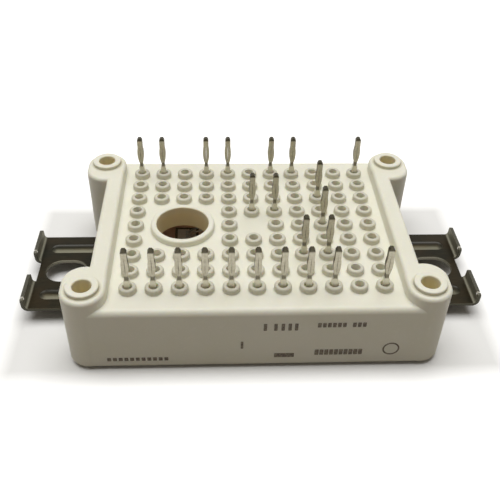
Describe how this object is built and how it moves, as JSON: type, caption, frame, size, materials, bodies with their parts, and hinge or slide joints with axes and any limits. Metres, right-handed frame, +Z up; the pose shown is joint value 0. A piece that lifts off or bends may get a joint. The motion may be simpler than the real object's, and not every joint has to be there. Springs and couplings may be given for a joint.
{
  "type": "igbt power module",
  "caption": "Flat rectangular power module: a cream moulded housing with corner domes and a grid of risers, upright press-fit pins, and a slotted steel screw clamp on each side.",
  "frame": {"origin": "centre of the underside, on the cooling face", "axes": "+X across the two clamps, +Y to the back, +Z up along the pins; the marked front wall faces -Y"},
  "size_m": [0.0628, 0.0336, 0.0165],
  "materials": {
    "housing": "satin moulded cream polyester",
    "clamp_steel": "black phosphated spring steel",
    "copper": "etched bare copper",
    "ceramic": "fired white ceramic",
    "pin_tin": "tinned bronze, satin",
    "sleeve_tin": "tinned copper",
    "thermistor": "dark ceramic",
    "wire": "bright drawn",
    "gel": "clear soft silicone",
    "igbt_silicon": "metallised silicon",
    "diode_silicon": "metallised silicon"
  },
  "bodies": {
    "root": {"housing": "housing", "clamp_left": "clamp_steel", "clamp_right": "clamp_steel", "bottom_copper": "copper", "ceramic_substrate": "ceramic", "top_copper": "copper", "pin_sleeves": "sleeve_tin", "thermistor": "thermistor", "power_wires": "wire", "gate_wires": "wire", "silicone_gel": "gel", "pin_0_0": "pin_tin", "pin_1_0": "pin_tin", "pin_2_0": "pin_tin", "pin_3_0": "pin_tin", "pin_4_0": "pin_tin", "pin_5_0": "pin_tin", "pin_6_0": "pin_tin", "pin_7_0": "pin_tin", "pin_8_0": "pin_tin", "pin_10_0": "pin_tin", "pin_7_2": "pin_tin", "pin_8_2": "pin_tin", "pin_8_4": "pin_tin", "pin_5_5": "pin_tin", "pin_6_5": "pin_tin", "pin_8_6": "pin_tin", "pin_0_8": "pin_tin", "pin_1_8": "pin_tin", "pin_3_8": "pin_tin", "pin_4_8": "pin_tin", "pin_6_8": "pin_tin", "pin_7_8": "pin_tin", "pin_10_8": "pin_tin", "brake_igbt": "igbt_silicon", "igbt_1": "igbt_silicon", "igbt_2": "igbt_silicon", "igbt_3": "igbt_silicon", "igbt_4": "igbt_silicon", "igbt_5": "igbt_silicon", "igbt_6": "igbt_silicon", "brake_diode": "diode_silicon", "diode_1": "diode_silicon", "diode_2": "diode_silicon", "diode_3": "diode_silicon", "diode_4": "diode_silicon", "diode_5": "diode_silicon", "diode_6": "diode_silicon", "rectifier_1": "diode_silicon", "rectifier_2": "diode_silicon", "rectifier_3": "diode_silicon", "rectifier_4": "diode_silicon", "rectifier_5": "diode_silicon", "rectifier_6": "diode_silicon"}
  },
  "joints": []
}
